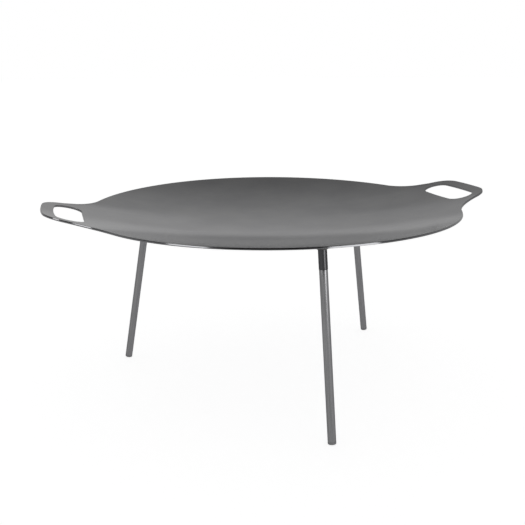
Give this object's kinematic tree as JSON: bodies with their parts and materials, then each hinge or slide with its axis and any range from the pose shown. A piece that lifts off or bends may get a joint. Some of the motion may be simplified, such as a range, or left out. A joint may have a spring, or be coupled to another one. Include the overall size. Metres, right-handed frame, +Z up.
{
  "type": "camp griddle plate",
  "caption": "Round dished steel griddle plate with two pierced sheet handles, standing over a fire on splayed screw-in legs.",
  "frame": {"origin": "on the ground, under the middle of the plate", "axes": "+Z up along the plate's axis, +X along the line of the two handles, -Y towards the single near leg"},
  "size_m": [0.728, 0.5998, 0.3077],
  "materials": {
    "rolled_sheet_steel": "satin hot-rolled sheet, dark grey",
    "black_socket_steel": "turned bar, blackened",
    "weld_metal": "fillet weld, brushed clean",
    "threaded_stud_steel": "bright turned and threaded",
    "drawn_tube_steel": "drawn tube, satin, drawn lengthwise",
    "turned_foot_steel": "turned plug, satin"
  },
  "bodies": {
    "griddle": {"griddle_plate": "rolled_sheet_steel", "leg_socket_1": "black_socket_steel", "leg_socket_2": "black_socket_steel", "leg_socket_3": "black_socket_steel", "socket_weld_1": "weld_metal", "socket_weld_2": "weld_metal", "socket_weld_3": "weld_metal"},
    "foot_1": {"leg_foot_1": "turned_foot_steel"},
    "leg_1": {"leg_tube_1": "drawn_tube_steel", "leg_stud_1": "threaded_stud_steel"},
    "foot_2": {"leg_foot_2": "turned_foot_steel"},
    "leg_2": {"leg_tube_2": "drawn_tube_steel", "leg_stud_2": "threaded_stud_steel"},
    "foot_3": {"leg_foot_3": "turned_foot_steel"},
    "leg_3": {"leg_tube_3": "drawn_tube_steel", "leg_stud_3": "threaded_stud_steel"}
  },
  "joints": [
    {"name": "leg_1_travel", "type": "slide", "parent": "griddle", "child": "foot_1", "axis": [0, -0.1814, -0.9834], "range_m": [0, 0.02]},
    {"name": "leg_1_turn", "type": "hinge", "parent": "foot_1", "child": "leg_1", "pos_m": [0, -0.27039, 0.00089], "axis": [0, -0.1814, -0.9834], "range_deg": [0, 5760]},
    {"name": "leg_2_travel", "type": "slide", "parent": "griddle", "child": "foot_2", "axis": [0.1571, 0.0907, -0.9834], "range_m": [0, 0.02]},
    {"name": "leg_2_turn", "type": "hinge", "parent": "foot_2", "child": "leg_2", "pos_m": [0.23416, 0.13519, 0.00089], "axis": [0.1571, 0.0907, -0.9834], "range_deg": [0, 5760]},
    {"name": "leg_3_travel", "type": "slide", "parent": "griddle", "child": "foot_3", "axis": [-0.1571, 0.0907, -0.9834], "range_m": [0, 0.02]},
    {"name": "leg_3_turn", "type": "hinge", "parent": "foot_3", "child": "leg_3", "pos_m": [-0.23416, 0.13519, 0.00089], "axis": [-0.1571, 0.0907, -0.9834], "range_deg": [0, 5760]}
  ],
  "couplings": [
    {"joint": "leg_1_turn", "follows": "leg_1_travel", "rad_per_m": 5026.5},
    {"joint": "leg_2_turn", "follows": "leg_2_travel", "rad_per_m": 5026.5},
    {"joint": "leg_3_turn", "follows": "leg_3_travel", "rad_per_m": 5026.5}
  ]
}
